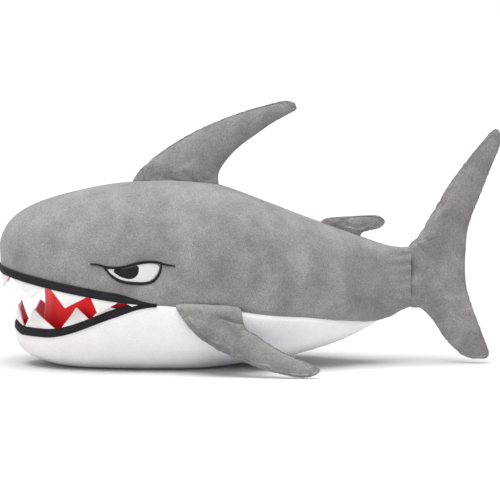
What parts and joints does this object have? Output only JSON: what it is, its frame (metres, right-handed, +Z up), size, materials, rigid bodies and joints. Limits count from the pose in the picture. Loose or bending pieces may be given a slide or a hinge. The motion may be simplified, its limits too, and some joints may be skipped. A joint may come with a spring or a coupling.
{
  "type": "plush shark",
  "caption": "Stuffed plush shark: grey back, white belly, open red-lined mouth with felt teeth, and a jaw, fins and tail that bend at their seams.",
  "frame": {"origin": "centre of the bounding box's base, on the surface that the toy rests on", "axes": "+Z up, +X from the head to the tail, -Y the shark's left side"},
  "size_m": [0.6004, 0.2606, 0.3165],
  "materials": {
    "grey_plush": "short matte pile",
    "white_plush": "short matte pile",
    "black_binding": "woven tape, slightly shiny",
    "red_satin": "smooth satin",
    "white_felt": "matte felt",
    "black_thread": "satin stitch",
    "white_thread": "satin stitch",
    "fibre_filling": "loose fibre"
  },
  "bodies": {
    "trunk": {"back_skin_left": "grey_plush", "back_skin_right": "grey_plush", "belly_skin": "white_plush", "body_filling": "fibre_filling", "palate_lining": "red_satin", "mouth_wall_lining": "red_satin", "upper_lip_binding": "black_binding", "upper_tooth_left_1": "white_felt", "upper_tooth_left_2": "white_felt", "upper_tooth_left_3": "white_felt", "upper_tooth_left_4": "white_felt", "upper_tooth_left_5": "white_felt", "upper_tooth_right_1": "white_felt", "upper_tooth_right_2": "white_felt", "upper_tooth_right_3": "white_felt", "upper_tooth_right_4": "white_felt", "upper_tooth_right_5": "white_felt", "eye_white_left": "white_thread", "eye_white_right": "white_thread", "eye_pupil_left": "black_thread", "eye_pupil_right": "black_thread", "eye_brow_line_left": "black_thread", "eye_brow_line_right": "black_thread", "eye_lower_line_left": "black_thread", "eye_lower_line_right": "black_thread"},
    "jaw": {"chin_skin": "white_plush", "jaw_filling": "fibre_filling", "mouth_floor_lining": "red_satin", "lower_lip_binding": "black_binding", "lower_tooth_left_1": "white_felt", "lower_tooth_left_2": "white_felt", "lower_tooth_left_3": "white_felt", "lower_tooth_left_4": "white_felt", "lower_tooth_right_1": "white_felt", "lower_tooth_right_2": "white_felt", "lower_tooth_right_3": "white_felt", "lower_tooth_right_4": "white_felt"},
    "dorsal_fin": {"dorsal_fin_left_panel": "grey_plush", "dorsal_fin_right_panel": "grey_plush", "dorsal_fin_filling": "fibre_filling"},
    "rear_dorsal_fin": {"rear_dorsal_fin_left_panel": "grey_plush", "rear_dorsal_fin_right_panel": "grey_plush", "rear_dorsal_fin_filling": "fibre_filling"},
    "tail_fin": {"tail_fin_left_panel": "grey_plush", "tail_fin_right_panel": "grey_plush", "tail_fin_filling": "fibre_filling"},
    "pectoral_fin_left": {"pectoral_fin_left_outer_panel": "grey_plush", "pectoral_fin_left_inner_panel": "grey_plush", "pectoral_fin_left_filling": "fibre_filling"},
    "pectoral_fin_right": {"pectoral_fin_right_outer_panel": "grey_plush", "pectoral_fin_right_inner_panel": "grey_plush", "pectoral_fin_right_filling": "fibre_filling"}
  },
  "joints": [
    {"name": "jaw_hinge", "type": "hinge", "parent": "trunk", "child": "jaw", "pos_m": [-0.108, 0, 0.0818], "axis": [0, 1, 0], "range_deg": [-4, 10], "stiffness_Nm_per_rad": 1.5, "springref_deg": 1.72, "deforming": ["mouth_wall_lining"]},
    {"name": "dorsal_fin_flop", "type": "hinge", "parent": "trunk", "child": "dorsal_fin", "pos_m": [-0.087, 0, 0.2235], "axis": [0.999, 0, -0.0445], "range_deg": [-20, 20], "stiffness_Nm_per_rad": 0.15},
    {"name": "rear_dorsal_fin_flop", "type": "hinge", "parent": "trunk", "child": "rear_dorsal_fin", "pos_m": [0.111, 0, 0.1656], "axis": [0.9386, 0, -0.3449], "range_deg": [-20, 20], "stiffness_Nm_per_rad": 0.03},
    {"name": "tail_fin_swing", "type": "hinge", "parent": "trunk", "child": "tail_fin", "pos_m": [0.196, 0, 0.105], "axis": [0, 0, 1], "range_deg": [-30, 30], "stiffness_Nm_per_rad": 0.2},
    {"name": "pectoral_fin_left_lift", "type": "hinge", "parent": "trunk", "child": "pectoral_fin_left", "pos_m": [-0.047, -0.1045, 0.0785], "axis": [-0.9964, -0.0205, 0.0819], "range_deg": [0, 60], "stiffness_Nm_per_rad": 0.06},
    {"name": "pectoral_fin_right_lift", "type": "hinge", "parent": "trunk", "child": "pectoral_fin_right", "pos_m": [-0.047, 0.1045, 0.0785], "axis": [0.9964, -0.0205, -0.0819], "range_deg": [0, 60], "stiffness_Nm_per_rad": 0.06}
  ]
}
